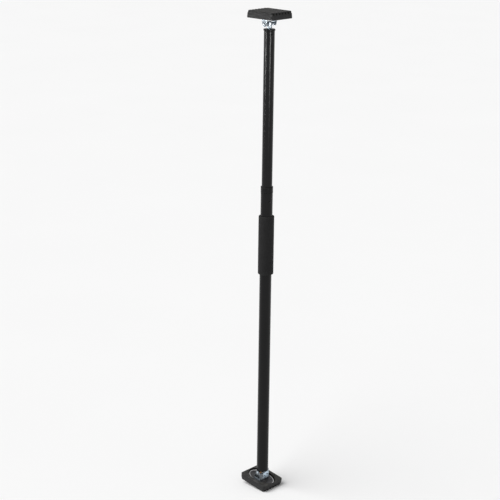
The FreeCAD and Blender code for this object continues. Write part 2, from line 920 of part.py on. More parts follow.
def section(body, name, drop, inset):
    """A rectangle sunk below the pivot and inset from the pad's rim."""
    sketch = new_sketch(body, name, "XY_Plane", f"0 - {drop}")
    draw_rectangle(sketch, f"rim_half_length - {inset}", f"rim_half_width - {inset}")
    return sketch


def round_corners(body, name, sketch):
    """Rounds the four slanted edges that rise from or fall to a section's corners."""
    tips = [vertex.Point for vertex in sketch.Shape.Vertexes]
    standing = [
        f"Edge{n}"
        for n, edge in enumerate(body.Shape.Edges, 1)
        if edge.BoundBox.ZLength > TINY
        and any(end.Point.isEqual(tip, TINY) for end in edge.Vertexes for tip in tips)
    ]
    block = body.Tip
    corners = body.newObject("PartDesign::Fillet", name)
    corners.Base = (block, standing)
    corners.setExpression("Radius", bound("rim_corner"))
    body.Document.recompute()


def pad_block(document, name):
    """The rubber block: a flared rim, a narrower tread and grooves along its sole."""
    body = new_body(document, name + "_block")
    rim = section(body, name + "_rim", "rim_drop", "0")
    step = section(body, name + "_step", "slab_foot_drop", "step_inset")
    tread = section(body, name + "_tread", "slab_foot_drop", "tread_inset")
    sole = section(body, name + "_sole", "sole_drop", "sole_inset")
    for part, outer, inner in (("foot", sole, tread), ("slab", rim, step)):
        loft = body.newObject("PartDesign::AdditiveLoft", f"{name}_{part}")
        loft.Profile = outer
        loft.Sections = [inner]
        loft.Ruled = True
        document.recompute()
        round_corners(body, f"{name}_{part}_corners", outer)
    groove = new_sketch(body, name + "_groove_place", "YZ_Plane")
    first = "(groove_step * (groove_count - 1) / 2)"
    low, high = f"0 - {first} - groove_cut / 2", f"0 - {first} + groove_cut / 2"
    floor, below = "groove_deep - sole_drop", "0 - sole_drop - groove_reach"
    draw_outline(groove, [(low, below), (high, below), (high, floor), (low, floor)])
    cut = cut_through(body, groove, name + "_groove")
    row = body.newObject("PartDesign::LinearPattern", name + "_grooves")
    row.Originals = [cut]
    row.Direction = (origin_of(body, "Y_Axis"), [""])
    row.setExpression("Length", bound(f"{first} * 2"))
    row.setExpression("Occurrences", bound("groove_count"))
    body.Tip = row
    document.recompute()
    return body


def rubber_pad(document, name, height, angle):
    """The rubber pad with the oval recess that its plate lies in."""
    block = pad_block(document, name)
    recess = oval(
        document,
        name + "_recess",
        "plate_major + recess_gap",
        "plate_minor + recess_gap",
        "0 - plate_floor_drop",
        "bracket_base_drop",
    )
    pad = cut_shapes(document, name, block, [recess])
    set_on_pivot(pad, height, angle)
    return pad


def pad_group(document, end):
    """Everything that hangs on one end's pivot, named for that end."""
    height = end + "_pin_height"
    angle = "lower_tilt" if end == "lower" else "upper_turn"
    hung = (
        ("rubber_pad", rubber_pad),
        ("base_plate", base_plate),
        ("clevis_bracket", clevis_bracket),
        ("bracket_rivets", bracket_rivets),
    )
    pieces = [make(document, f"{end}_{name}", height, angle) for name, make in hung]
    laid = (
        ("pivot_pin", pivot_pin),
        ("pin_clip", pin_clip),
        ("spacer_bushes", spacer_bushes),
    )
    return pieces + [make(document, f"{end}_{name}", height) for name, make in laid]


# ---- assembly --------------------------------------------------------------------------


def make_pieces(document):
    """Every sub-part, each in its place."""
    stud_groove = "inner_bottom - stud_length + clip_width"
    screw_groove = "screw_foot - neck_length + clip_width"
    spindle_groove = "outer_bottom + plug_height + washer_height + fixed_gap * 2"
    pieces = [
        outer_tube(document),
        foam_grip(document),
        guide_collar(document),
        tube_rivet(
            document,
            "collar_rivet",
            "outer_radius",
            "collar_rivet_depth",
            "collar_rivet_height",
        ),
        lower_end_plug(document),
        lower_spindle(document),
        spindle_washer(document),
        shaft_clip(document, "spindle_clip", "spindle_neck", spindle_groove),
        inner_tube(document),
        lock_core(document),
        lock_stud(document),
        lock_expander(document),
        lock_cone(document),
        shaft_clip(document, "stud_clip", "stud_radius", stud_groove),
        end_cap(document),
        screw_insert(document),
        tube_rivet(
            document, "cap_rivet", "inner_radius", "cap_rivet_depth", "cap_rivet_height"
        ),
        jack_screw(document),
        screw_tail_guide(document),
        shaft_clip(document, "screw_clip", "neck_radius", screw_groove),
    ]
    return pieces + pad_group(document, "lower") + pad_group(document, "upper")


def check_document(document):
    """Stops the build at any feature that failed."""
    for feature in document.Objects:
        if "Invalid" in feature.State or "Error" in feature.State:
            raise RuntimeError(f"{feature.Label} is not valid: {feature.State}")


def write_pieces(pieces):
    """One STEP file for each sub-part, named by its label."""
    os.makedirs("parts", exist_ok=True)
    for piece in pieces:
        if piece.Shape.isNull() or not piece.Shape.isValid():
            raise RuntimeError(f"{piece.Label} has no valid shape")
        piece.Shape.exportStep(f"parts/{piece.Label}.step")
        box = piece.Shape.BoundBox
        print(
            f"{piece.Label:24s} {piece.Shape.Volume:12.1f} mm3"
            f"  x {box.XMin:8.2f} {box.XMax:8.2f}  y {box.YMin:8.2f} {box.YMax:8.2f}"
            f"  z {box.ZMin:8.2f} {box.ZMax:8.2f}"
        )


def main():
    """Builds the bar and writes its sub-parts."""
    document = FreeCAD.newDocument("pull_up_bar")
    write_sizes(document)
    pieces = make_pieces(document)
    document.recompute()
    check_document(document)
    write_pieces(pieces)


main()
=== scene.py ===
"""Looks of a telescopic tension pole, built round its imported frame.

The pole is two black steel tubes, one sliding in the other, with a foam grip, a moulded collar,
an end cap with a bright jack screw, and a tilting rubber pad in a plated clevis at each end.
Lengths are in metres in the frame's own axes: Z up the pole, X along the pads, Y along the pins.
"""

from __future__ import annotations

import logging
import math
from dataclasses import dataclass, field
from enum import Enum

import bmesh
import bpy
import numpy as np
from mathutils import Matrix, Vector

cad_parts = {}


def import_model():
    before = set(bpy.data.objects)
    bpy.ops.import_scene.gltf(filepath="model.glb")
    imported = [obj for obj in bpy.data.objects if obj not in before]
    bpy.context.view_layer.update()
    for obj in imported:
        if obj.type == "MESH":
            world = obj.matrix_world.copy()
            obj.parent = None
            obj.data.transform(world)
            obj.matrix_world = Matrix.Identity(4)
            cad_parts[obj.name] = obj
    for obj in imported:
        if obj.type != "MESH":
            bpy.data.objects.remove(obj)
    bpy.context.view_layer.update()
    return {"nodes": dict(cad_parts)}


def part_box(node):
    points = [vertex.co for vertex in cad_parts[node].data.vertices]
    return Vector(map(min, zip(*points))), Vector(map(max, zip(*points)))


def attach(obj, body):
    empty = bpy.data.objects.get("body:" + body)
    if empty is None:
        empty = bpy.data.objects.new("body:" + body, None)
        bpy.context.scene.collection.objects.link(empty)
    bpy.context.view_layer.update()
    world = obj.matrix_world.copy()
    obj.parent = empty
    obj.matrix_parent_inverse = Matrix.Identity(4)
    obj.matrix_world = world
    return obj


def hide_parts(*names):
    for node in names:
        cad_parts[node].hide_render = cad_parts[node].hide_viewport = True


LOG = logging.getLogger("tension_pole")
MM = 0.001
TURN = 2.0 * math.pi
# Per-point attribute that mixes in a finish's second colour: bare worn metal on the plate's lip,
# painted shade in the rubber pads' grooves and recess.
WEAR_AND_SHADE = "wear_and_shade"
SAME_PLACE = 0.002 * MM
SHARP_ANGLE = 40.0
WHITE = (1.0, 1.0, 1.0, 1.0)
Colour = tuple[float, float, float]


# ---- surfaces --------------------------------------------------------------------------


def grid_quads(rows: int, columns: int, ring: bool, loop: bool = False) -> np.ndarray:
    """Joins neighbouring points of a grid, numbered along its rows, into quads.

    Args:
        rows: how many rows of points there are.
        columns: how many points each row has.
        ring: whether the last column meets the first.
        loop: whether the last row meets the first.

    Returns:
        One line of four point numbers for each quad.
    """
    low = np.arange(rows if loop else rows - 1)[:, None]
    left = np.arange(columns if ring else columns - 1)[None, :]
    high, right = (low + 1) % rows, (left + 1) % columns
    corners = (
        low * columns + left,
        low * columns + right,
        high * columns + right,
        high * columns + left,
    )
    return np.stack(np.broadcast_arrays(*corners), axis=-1).reshape(-1, 4)


def fan(rim: np.ndarray, centre: int) -> np.ndarray:
    """Triangles from each edge of a closed rim of point numbers to a centre point."""
    return np.stack([rim, np.roll(rim, -1), np.full_like(rim, centre)], axis=-1)


def softened(corners: np.ndarray, reach: np.ndarray | float, steps: int = 4) -> np.ndarray:
    """Rounds a chain of straight runs at its inner corners.

    Each corner becomes a quadratic curve, (1-t)^2 A + 2t(1-t) P + t^2 C, where P is the corner
    and A and C lie at the reach from it, or at half of a shorter run.

    Args:
        corners: the chain's points, one line of two numbers each.
        reach: how far from each inner corner its curve starts.
        steps: how many pieces each curve is drawn in.

    Returns:
        The rounded chain, from the first corner to the last.
    """
    runs = np.diff(corners, axis=0)
    lengths = np.linalg.norm(runs, axis=1, keepdims=True)
    ways = runs / lengths
    reach = np.broadcast_to(np.reshape(reach, (-1, 1)), (len(corners) - 2, 1))
    back = np.minimum(reach, lengths[:-1] * 0.5)
    ahead = np.minimum(reach, lengths[1:] * 0.5)
    start = corners[1:-1] - ways[:-1] * back
    end = corners[1:-1] + ways[1:] * ahead
    t = np.linspace(0.0, 1.0, steps + 1)[None, :, None]
    curve = (1 - t) ** 2 * start[:, None] + 2 * t * (1 - t) * corners[1:-1, None]
    curve = (curve + t**2 * end[:, None]).reshape(-1, 2)
    return np.vstack([corners[:1], curve, corners[-1:]])


def filled_in(chain: np.ndarray, longest: float) -> np.ndarray:
    """Adds evenly spaced points to a chain's runs, each split in n = ceil(length / longest).

    Args:
        chain: the chain's points, one line of two numbers each.
        longest: the longest that a run may stay.

    Returns:
        The chain with the points added.
    """
    lengths = np.linalg.norm(np.diff(chain, axis=0), axis=1)
    pieces = np.maximum(1, np.ceil(lengths / longest)).astype(int)
    along = np.concatenate([[0.0], np.cumsum(1.0 / np.repeat(pieces, pieces))])
    places = np.arange(len(chain), dtype=float)
    return np.stack([np.interp(along, places, chain[:, k]) for k in (0, 1)], axis=-1)


def turned_surface(profile: np.ndarray, columns: int) -> np.ndarray:
    """Carries a profile of radius and height round the Z axis: (r cos a, r sin a, z).

    Args:
        profile: the profile, one line of radius and height for each point.
        columns: how many places round the axis it is carried to.

    Returns:
        A grid of points, one row for each point of the profile.
    """
    angle = np.arange(columns) * TURN / columns
    radius, height = profile[:, :1], profile[:, 1:]
    x, y = radius * np.cos(angle), radius * np.sin(angle)
    return np.stack([x, y, np.broadcast_to(height, x.shape)], axis=-1)


def hung(points: np.ndarray, pivot: float, angle: float) -> np.ndarray:
    """Turns points drawn about a pivot pin about Y and lifts them to the pin's height.

    Args:
        points: the points, with the pin along Y through their origin.
        pivot: the pin's height.
        angle: the turn about Y, in degrees.

    Returns:
        The points in the frame's axes: (x cos a + z sin a, y, z cos a - x sin a + pivot).
    """
    cos, sin = math.cos(math.radians(angle)), math.sin(math.radians(angle))
    x, y, z = points[..., 0], points[..., 1], points[..., 2]
    return np.stack([x * cos + z * sin, y, z * cos - x * sin + pivot], axis=-1)


# ---- meshes ----------------------------------------------------------------------------


def new_piece(
    name: str, points: np.ndarray, faces: list[np.ndarray], wear_and_shade: np.ndarray | None = None
) -> bpy.types.Object:
    """Makes a closed, smooth mesh whose faces look outwards.

    Args:
        name: the piece's name.
        points: its points, in the frame's axes.
        faces: arrays of point numbers, one for each kind of face.
        wear_and_shade: how much of its finish's second colour each point shows, from 0 to 1; it is
            bare worn metal on the plate's lip and painted shade in the rubber pad's grooves and
            recess.

    Returns:
        The piece's object, at the origin.
    """
    mesh = bpy.data.meshes.new(name)
    listed = [face for kind in faces for face in kind.tolist()]
    mesh.from_pydata(points.reshape(-1, 3).tolist(), [], listed)
    if wear_and_shade is not None:
        shares = mesh.attributes.new(WEAR_AND_SHADE, "FLOAT", "POINT")
        shares.data.foreach_set("value", wear_and_shade.astype(np.float32).ravel())
    built = bmesh.new()
    built.from_mesh(mesh)
    bmesh.ops.remove_doubles(built, verts=built.verts, dist=SAME_PLACE)
    bmesh.ops.recalc_face_normals(built, faces=built.faces)
    if built.calc_volume(signed=True) < 0:
        bmesh.ops.reverse_faces(built, faces=built.faces)
    built.to_mesh(mesh)
    built.free()
    mesh.shade_smooth()
    piece = bpy.data.objects.new(name, mesh)
    bpy.context.scene.collection.objects.link(piece)
    return piece


def bored(piece: bpy.types.Object, rods: list[bpy.types.Object]) -> None:
    """Cuts round rods out of a piece, and takes the rods away.

    Args:
        piece: the piece to bore.
        rods: the rods, which cross it.
    """
    for rod in rods:
        cut = piece.modifiers.new("bore", "BOOLEAN")
        cut.operation, cut.solver, cut.object = "DIFFERENCE", "EXACT", rod
    depsgraph = bpy.context.evaluated_depsgraph_get()
    result = bpy.data.meshes.new_from_object(piece.evaluated_get(depsgraph))
    piece.modifiers.clear()
    piece.data = result
    result.set_sharp_from_angle(angle=math.radians(SHARP_ANGLE))
    for rod in rods:
        bpy.data.objects.remove(rod)


def rod(radius: float, start: Vector, end: Vector, columns: int = 48) -> bpy.types.Object:
    """Makes a round rod between two points, to cut a hole with.

    Args:
        radius: the rod's radius.
        start: the middle of one end.
        end: the middle of the other.
        columns: how many sides it has.

    Returns:
        The rod's object.
    """
    way = Vector(end) - Vector(start)
    half = np.array([[radius, 0.0], [radius, way.length]])
    wall = turned_surface(half, columns)
    ends = np.array([[0.0, 0.0, 0.0], [0.0, 0.0, way.length]])
    points = np.vstack([wall.reshape(-1, 3), ends])
    low = np.arange(columns)
    faces = [
        grid_quads(2, columns, True),
        fan(low, 2 * columns),
        fan(low + columns, 2 * columns + 1),
    ]
    piece = new_piece("cutting_rod", points, faces)
    turn = Vector((0, 0, 1)).rotation_difference(way).to_matrix().to_4x4()
    piece.data.transform(Matrix.Translation(Vector(start)) @ turn)
    return piece


# ---- finishes --------------------------------------------------------------------------


class Nodes:
    """Builds one node tree, in a material or in a shared group."""

    def __init__(self, tree: bpy.types.NodeTree) -> None:
        """Starts on an empty tree."""
        self.tree = tree
        tree.nodes.clear()

    def add(self, kind: str, **settings: object) -> bpy.types.Node:
        """Adds a node and sets its own properties."""
        node = self.tree.nodes.new(kind)
        for key, value in settings.items():
            setattr(node, key, value)
        return node

    def join(self, source: bpy.types.NodeSocket, *targets: bpy.types.NodeSocket) -> None:
        """Links one output to each of the inputs."""
        for target in targets:
            self.tree.links.new(source, target)

    def feed(self, socket: bpy.types.NodeSocket, value: object) -> None:
        """Gives an input its value: a link from a socket, or a plain number or colour."""
        if isinstance(value, bpy.types.NodeSocket):
            self.join(value, socket)
        else:
            socket.default_value = value

    def fill(self, node: bpy.types.Node, **values: object) -> bpy.types.Node:
        """Feeds a node's inputs, named with _ for spaces, from sockets or plain values."""
        for key, value in values.items():
            self.feed(node.inputs[key.replace("_", " ")], value)
        return node

    def maths(self, operation: str, *terms: object) -> bpy.types.NodeSocket:
        """One arithmetic step on sockets or numbers."""
        node = self.add("ShaderNodeMath", operation=operation)
        for socket, term in zip(node.inputs, terms):
            self.feed(socket, term)
        return node.outputs[0]

    def ranged(self, value: bpy.types.NodeSocket, *limits: object) -> bpy.types.NodeSocket:
        """Carries a value from one range to another, and holds it inside.

        Args:
            value: the value to carry.
            limits: the two limits that it comes from, then the two that it goes to.

        Returns:
            The carried value.
        """
        node = self.add("ShaderNodeMapRange")
        for socket, term in zip(node.inputs[:5], (value, *limits)):
            self.feed(socket, term)
        return node.outputs[0]

    def mixed(self, share: object, first: object, second: object) -> bpy.types.NodeSocket:
        """Mixes two colours by a share that changes over the surface.

        Args:
            share: how much of the second colour shows.
            first: the colour at a share of 0.
            second: the colour at a share of 1.

        Returns:
            The mixed colour.
        """
        node = self.add("ShaderNodeMix", data_type="RGBA")
        for socket, value in zip((node.inputs[0], *node.inputs[6:8]), (share, first, second)):
            self.feed(socket, value)
        return node.outputs[2]

    def noise(self, place: object, scale: object, detail: float) -> bpy.types.NodeSocket:
        """Cloudy values from 0 to 1 over the surface."""
        node = self.add("ShaderNodeTexNoise")
        return self.fill(node, Vector=place, Scale=scale, Detail=detail).outputs[0]


class Effect(Enum):
    """The surface effects that several finishes share."""

    GRAIN = "fine_grain"
    MOTTLE = "mottle"
    RUBBED = "rubbed_edges"
    DUST = "settled_dust"


# Each range runs from its first two values to its last two.
PIT_RANGE = (0.0, 0.6, 0.0, 1.0)
SHADE_RANGE = (0.32, 0.68, 0.0, 1.0)
GLOSS_RANGE = (0.3, 0.7, 0.0, 1.0)
STREAK_RANGE = (0.58, 0.72, 0.0, 1.0)
PATCH_RANGE = (0.45, 0.7, 0.0, 1.0)
UPWARD_RANGE = (0.3, 0.95, 0.0, 1.0)
FILM_RANGE = (0.35, 0.75, 0.2, 1.0)
FINE_SCALE, FINE_SHARE, BROAD_SHARE = 7.3, 0.4, 0.6
PATCH_SCALE = 3.0


def new_group(effect: Effect, inputs: dict[str, float], outputs: list[str]) -> tuple:
    """Starts a node group with a place input, number inputs and number outputs.

    Args:
        effect: which effect the group holds.
        inputs: each number input's name and first value.
        outputs: the names of the values that it puts out.

    Returns:
        The tree's builder, its input node and its output node.
    """
    tree = bpy.data.node_groups.new(effect.value, "ShaderNodeTree")
    nodes = Nodes(tree)
    tree.interface.new_socket("Place", in_out="INPUT", socket_type="NodeSocketVector")
    for name, value in inputs.items():
        socket = tree.interface.new_socket(name, in_out="INPUT", socket_type="NodeSocketFloat")
        socket.default_value = value
    for name in outputs:
        tree.interface.new_socket(name, in_out="OUTPUT", socket_type="NodeSocketFloat")
    return nodes, nodes.add("NodeGroupInput").outputs, nodes.add("NodeGroupOutput").inputs


def grain_group() -> None:
    """Fine bumps of moulded, sprayed or foamed skin: close noise with small round pits."""
    nodes, given, out = new_group(Effect.GRAIN, {"Scale": 900.0, "Pits": 0.3}, ["Height"])
    close = nodes.noise(given["Place"], given["Scale"], detail=3.0)
    pits = nodes.add("ShaderNodeTexVoronoi", feature="SMOOTH_F1")
    nodes.fill(pits, Vector=given["Place"], Scale=given["Scale"])
    deep = nodes.maths("MULTIPLY", nodes.ranged(pits.outputs[0], *PIT_RANGE), given["Pits"])
    nodes.join(nodes.maths("ADD", close, deep), out["Height"])


def mottle_group() -> None:
    """Slow drifts of shade and of gloss, from two sizes of cloudy noise."""
    nodes, given, out = new_group(Effect.MOTTLE, {"Scale": 12.0}, ["Shade", "Gloss"])
    broad = nodes.noise(given["Place"], given["Scale"], detail=2.0)
    close = nodes.maths("MULTIPLY", given["Scale"], FINE_SCALE)
    fine = nodes.noise(given["Place"], close, detail=4.0)
    base = nodes.maths("MULTIPLY", broad, BROAD_SHARE)
    both = nodes.maths("MULTIPLY_ADD", fine, FINE_SHARE, base)
    nodes.join(nodes.ranged(both, *SHADE_RANGE), out["Shade"])
    nodes.join(nodes.ranged(fine, *GLOSS_RANGE), out["Gloss"])


def rubbed_group() -> None:
    """Broken streaks along the pole, where parts slide or are handled."""
    inputs = {"Along": 6.0, "Across": 420.0, "Amount": 0.3}
    nodes, given, out = new_group(Effect.RUBBED, inputs, ["Mask"])
    apart = nodes.add("ShaderNodeSeparateXYZ")
    nodes.fill(apart, Vector=given["Place"])
    again = nodes.add("ShaderNodeCombineXYZ")
    for axis, name in enumerate(("Across", "Across", "Along")):
        stretched = nodes.maths("MULTIPLY", apart.outputs[axis], given[name])
        nodes.join(stretched, again.inputs[axis])
    streak = nodes.noise(again.outputs[0], 1.0, detail=2.0)
    wide = nodes.maths("MULTIPLY", given["Along"], PATCH_SCALE)
    patch = nodes.ranged(nodes.noise(given["Place"], wide, detail=2.0), *PATCH_RANGE)
    kept = nodes.maths("MULTIPLY", nodes.ranged(streak, *STREAK_RANGE), patch)
    nodes.join(nodes.maths("MULTIPLY", kept, given["Amount"]), out["Mask"])


def dust_group() -> None:
    """A thin film on surfaces that look up, broken by noise."""
    nodes, given, out = new_group(Effect.DUST, {"Scale": 60.0, "Amount": 0.1}, ["Mask"])
    facing = nodes.add("ShaderNodeNewGeometry")
    apart = nodes.fill(nodes.add("ShaderNodeSeparateXYZ"), Vector=facing.outputs["Normal"])
    flat = nodes.ranged(apart.outputs[2], *UPWARD_RANGE)
    cloud = nodes.noise(given["Place"], given["Scale"], detail=5.0)
    film = nodes.maths("MULTIPLY", flat, nodes.ranged(cloud, *FILM_RANGE))
    nodes.join(nodes.maths("MULTIPLY", film, given["Amount"]), out["Mask"])


def share_effects() -> None:
    """Builds each shared effect's group once."""
    for build in (grain_group, mottle_group, rubbed_group, dust_group):
        build()


DUST_COLOUR: Colour = (0.32, 0.31, 0.29)


@dataclass(frozen=True)
class Finish:
    """How one of the pole's surfaces looks, as the values that its material is built with."""

    name: str
    dark: Colour
    light: Colour
    gloss: tuple[float, float]
    metallic: float = 0.0
    specular: float = 0.5
    grain_scale: float = 900.0
    grain_depth: float = 0.02
    pits: float = 0.3
    mottle_scale: float = 14.0
    rubbed: float = 0.0
    rubbed_colour: Colour = (0.3, 0.3, 0.3)
    dust: float = 0.05
    sheen: float = 0.0
    # Second colour and roughness mixed in by the per-point attribute: worn bare metal on the
    # plates, painted shade on the rubber pads.
    wear_and_shade_colour: Colour | None = None
    wear_and_shade_gloss: float = 0.5

    def material(self) -> bpy.types.Material:
        """Builds the finish's material, with its Principled shader left in the material.

        Returns:
            The new material.
        """
        made = bpy.data.materials.new(self.name)
        made.use_nodes = True
        nodes = Nodes(made.node_tree)
        place = nodes.add("ShaderNodeTexCoord").outputs["Object"]
        shader = nodes.add("ShaderNodeBsdfPrincipled")
        surface = nodes.add("ShaderNodeOutputMaterial")
        nodes.join(shader.outputs[0], surface.inputs[0])
        mottle = self.effect(nodes, Effect.MOTTLE, Place=place, Scale=self.mottle_scale)
        colour = nodes.mixed(mottle.outputs["Shade"], (*self.dark, 1.0), (*self.light, 1.0))
        rough = nodes.ranged(mottle.outputs["Gloss"], 0.0, 1.0, *self.gloss)
        if self.rubbed:
            streaks = self.effect(nodes, Effect.RUBBED, Place=place, Amount=self.rubbed)
            colour = nodes.mixed(streaks.outputs[0], colour, (*self.rubbed_colour, 1.0))
        if self.dust:
            film = self.effect(nodes, Effect.DUST, Place=place, Amount=self.dust)
            colour = nodes.mixed(film.outputs[0], colour, (*DUST_COLOUR, 1.0))
            rough = nodes.maths("MULTIPLY_ADD", film.outputs[0], 1.0 - self.gloss[1], rough)
        # Mixes in the second colour by the mesh's attribute: worn metal on the plates, painted
        # shade in the pads' hollows.
        if self.wear_and_shade_colour:
            wear_and_shade = nodes.add("ShaderNodeAttribute", attribute_name=WEAR_AND_SHADE).outputs["Fac"]
            colour = nodes.mixed(wear_and_shade, colour, (*self.wear_and_shade_colour, 1.0))
            rough = nodes.ranged(wear_and_shade, 0.0, 1.0, rough, self.wear_and_shade_gloss)
        nodes.fill(shader, Base_Color=colour, Roughness=rough, Metallic=self.metallic)
        nodes.fill(shader, Specular_IOR_Level=self.specular, Sheen_Weight=self.sheen)
        grain = self.effect(nodes, Effect.GRAIN, Place=place, Scale=self.grain_scale)
        grain.inputs["Pits"].default_value = self.pits
        bump = nodes.add("ShaderNodeBump")
        nodes.fill(bump, Height=grain.outputs[0], Distance=self.grain_depth * MM, Strength=1.0)
        nodes.join(bump.outputs[0], shader.inputs["Normal"])
        return made

    @staticmethod
    def effect(nodes: Nodes, kind: Effect, **values: object) -> bpy.types.Node:
        """Places a shared effect in the material with its own values."""
        node = nodes.add("ShaderNodeGroup", node_tree=bpy.data.node_groups[kind.value])
        return nodes.fill(node, **values)


class Slot(Enum):
    """The record's material slots, each with the finish that the pole shows there."""

    BLACK_STEEL = Finish(
        "powder_coated_steel",
        dark=(0.0030, 0.0030, 0.0032),
        light=(0.0048, 0.0048, 0.0050),
        gloss=(0.17, 0.24),
        specular=0.2,
        grain_scale=620.0,
        grain_depth=0.012,
        pits=0.1,
        rubbed=0.10,
        rubbed_colour=(0.06, 0.06, 0.062),
        dust=0.02,
    )
    FOAM = Finish(
        "closed_cell_foam",
        dark=(0.0070, 0.0070, 0.0072),
        light=(0.0106, 0.0106, 0.0109),
        gloss=(0.72, 0.9),
        specular=0.3,
        grain_scale=1500.0,
        grain_depth=0.16,
        pits=0.9,
        mottle_scale=38.0,
        dust=0.06,
        sheen=0.03,
    )
    BLACK_PLASTIC = Finish(
        "moulded_black_plastic",
        dark=(0.0035, 0.0035, 0.0037),
        light=(0.0056, 0.0056, 0.0059),
        gloss=(0.30, 0.42),
        specular=0.17,
        grain_scale=1700.0,
        grain_depth=0.025,
        pits=0.6,
        dust=0.04,
    )
    NYLON = Finish(
        "natural_nylon",
        dark=(0.66, 0.64, 0.58),
        light=(0.76, 0.75, 0.70),
        gloss=(0.4, 0.5),
        grain_scale=1200.0,
        dust=0.0,
    )
    RUBBER = Finish(
        "moulded_rubber",
        dark=(0.0082, 0.0082, 0.0084),
        light=(0.0138, 0.0138, 0.0142),
        gloss=(0.36, 0.52),
        specular=0.30,
        grain_scale=1100.0,
        grain_depth=0.07,
        pits=0.7,
        mottle_scale=30.0,
        dust=0.20,
        # Second colour: painted shade, near-black rough rubber laid into the tread's grooves and
        # the recess.
        wear_and_shade_colour=(0.0015, 0.0015, 0.0016),
        wear_and_shade_gloss=0.95,
    )
    PLATE = Finish(
        "dark_plated_steel",
        dark=(0.10, 0.10, 0.105),
        light=(0.19, 0.19, 0.20),
        gloss=(0.24, 0.38),
        metallic=1.0,
        grain_scale=900.0,
        grain_depth=0.012,
        mottle_scale=55.0,
        dust=0.05,
        wear_and_shade_colour=(0.95, 0.96, 0.97),
        wear_and_shade_gloss=0.7,
    )
    ZINC = Finish(
        "bright_zinc_plate",
        dark=(0.26, 0.295, 0.325),
        light=(0.42, 0.46, 0.495),
        gloss=(0.16, 0.30),
        metallic=1.0,
        grain_scale=700.0,
        grain_depth=0.012,
        mottle_scale=90.0,
        dust=0.02,
    )
    SPRING_STEEL = Finish(
        "blued_spring_steel",
        dark=(0.20, 0.21, 0.23),
        light=(0.34, 0.35, 0.37),
        gloss=(0.25, 0.4),
        metallic=1.0,
        grain_scale=900.0,
        grain_depth=0.01,
        mottle_scale=80.0,
        dust=0.0,
    )
    BRONZE = Finish(
        "sintered_bronze",
        dark=(0.42, 0.22, 0.10),
        light=(0.62, 0.37, 0.18),
        gloss=(0.3, 0.45),
        metallic=1.0,
        grain_scale=1300.0,
        grain_depth=0.03,
        pits=0.8,
        mottle_scale=120.0,
        dust=0.0,
    )

    @property
    def slot(self) -> str:
        """The slot's name in the record."""
        return self.name.lower()


class Paintbox:
    """Makes each slot's material once and puts it on pieces."""

    def __init__(self) -> None:
        """Builds the shared effects and an empty store of materials."""
        share_effects()
        self.made: dict[Slot, bpy.types.Material] = {}

    def dress(self, piece: bpy.types.Object, slot: Slot) -> bpy.types.Object:
        """Gives a piece its slot's material in place of any that it has.

        Args:
            piece: the mesh to dress, new or from the frame.
            slot: which slot it takes its finish from.

        Returns:
            The same piece.
        """
        if slot not in self.made:
            self.made[slot] = slot.value.material()
        piece.data.materials.clear()
        piece.data.materials.append(self.made[slot])
        LOG.info("%s wears %s", piece.name, slot.slot)
        return piece


# ---- the pole's pieces -----------------------------------------------------------------


@dataclass
class FoamGrip:
    """The foam sleeve on the outer tube: a thick tube with rounded ends and a soft skin."""

    bore: float = 19.1 * MM
    end_round: float = 3.0 * MM
    mouth_round: float = 1.0 * MM
    round_steps: int = 8
    columns: int = 260
    spacing: float = 0.9 * MM
    swell: float = 0.16 * MM
    wave_turns: tuple[int, ...] = (1, 2, 3, 5)
    wave_sum: float = 2.04
    wave_lift: tuple[float, float] = (18.0, 60.0)
    seed: int = 11

    def build(self, paints: Paintbox) -> bpy.types.Object:
        """Makes the sleeve where the frame's own stands, riding on the outer tube.

        Args:
            paints: where the material is made.

        Returns:
            The sleeve's object.
        """
        low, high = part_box("foam_grip")
        outside = (high.x - low.x) / 2.0
        corners = np.array(
            [
                [self.bore, (low.z + high.z) / 2.0],
                [self.bore, low.z],
                [outside, low.z],
                [outside, high.z],
                [self.bore, high.z],
                [self.bore, (low.z + high.z) / 2.0],
            ]
        )
        reach = np.array([self.mouth_round, self.end_round, self.end_round, self.mouth_round])
        profile = filled_in(softened(corners, reach, self.round_steps), self.spacing)[:-1]
        points = turned_surface(profile, self.columns)
        points = self.softened_skin(points, profile[:, 0] > self.bore + self.mouth_round)
        rows = len(profile)
        quads = grid_quads(rows, self.columns, ring=True, loop=True)
        sleeve = new_piece("foam_sleeve", points, [quads])
        paints.dress(sleeve, Slot.FOAM)
        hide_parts("foam_grip")
        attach(sleeve, "outer_tube")
        return sleeve

    def softened_skin(self, points: np.ndarray, outer: np.ndarray) -> np.ndarray:
        """Lets the outer skin sink in slow waves: the sum of sin(n a + n k z + p) / n.

        Args:
            points: the sleeve's grid.
            outer: which of its rows lie outside the bore.

        Returns:
            The grid with the waves in it.
        """
        draws = np.random.default_rng(self.seed)
        angle = np.arctan2(points[..., 1], points[..., 0])
        height = points[..., 2]
        wave = np.zeros_like(height)
        for turns in self.wave_turns:
            lift, phase = draws.uniform(*self.wave_lift), draws.uniform(0.0, TURN)
            wave += np.sin(turns * angle + lift * height * turns + phase) / turns
        sink = self.swell * (0.5 - 0.5 * wave / self.wave_sum) * outer[:, None]
        radius = np.linalg.norm(points[..., :2], axis=-1)
        scale = (radius - np.clip(sink, 0.0, self.swell)) / radius
        points[..., 0] *= scale
        points[..., 1] *= scale
        return points


